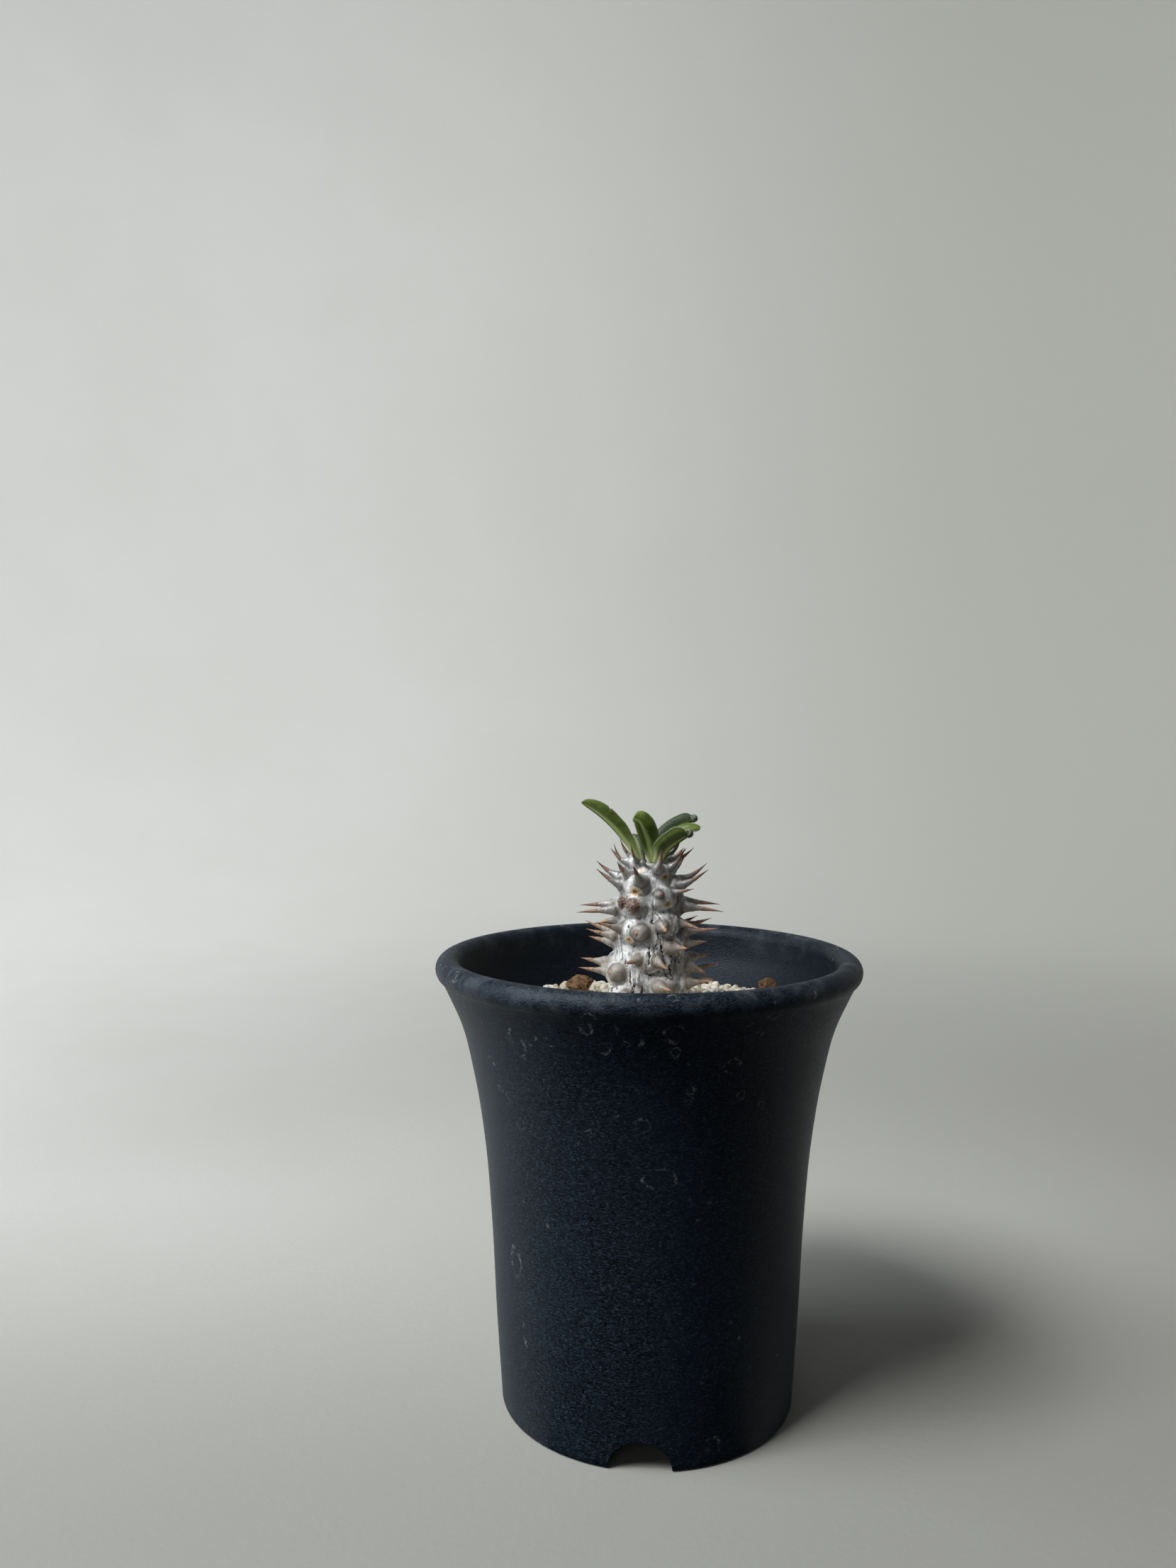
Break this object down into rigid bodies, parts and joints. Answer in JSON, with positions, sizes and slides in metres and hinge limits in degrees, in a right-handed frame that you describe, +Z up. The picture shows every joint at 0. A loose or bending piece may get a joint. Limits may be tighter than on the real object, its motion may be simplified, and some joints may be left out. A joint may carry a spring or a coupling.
{
  "type": "potted pachypodium tackyi",
  "caption": "Young spiny caudex succulent with a silvery warty stem and a tuft of strap leaves, in white gravel in a tall flared matte black plastic pot.",
  "frame": {"origin": "middle of the pot's foot, on its axis, on the surface it stands on", "axes": "+Z up along the pot's axis, -Y towards the plant's best side, +X to that side's right"},
  "size_m": [0.076, 0.076, 0.1083],
  "materials": {
    "pot_plastic": "matte",
    "growing_mix": "matte",
    "white_gravel": "matte",
    "brown_pumice": "matte",
    "silver_bark": "satin",
    "leaf_green": "satin"
  },
  "bodies": {
    "root": {"pot": "pot_plastic", "growing_medium": "growing_mix", "top_dressing": "white_gravel", "pumice_left": "brown_pumice", "pumice_right": "brown_pumice", "stem": "silver_bark", "leaf_left": "leaf_green", "leaf_middle": "leaf_green", "leaf_right": "leaf_green", "leaf_back_right": "leaf_green", "leaf_side_right": "leaf_green", "leaf_back_left": "leaf_green"}
  },
  "joints": []
}
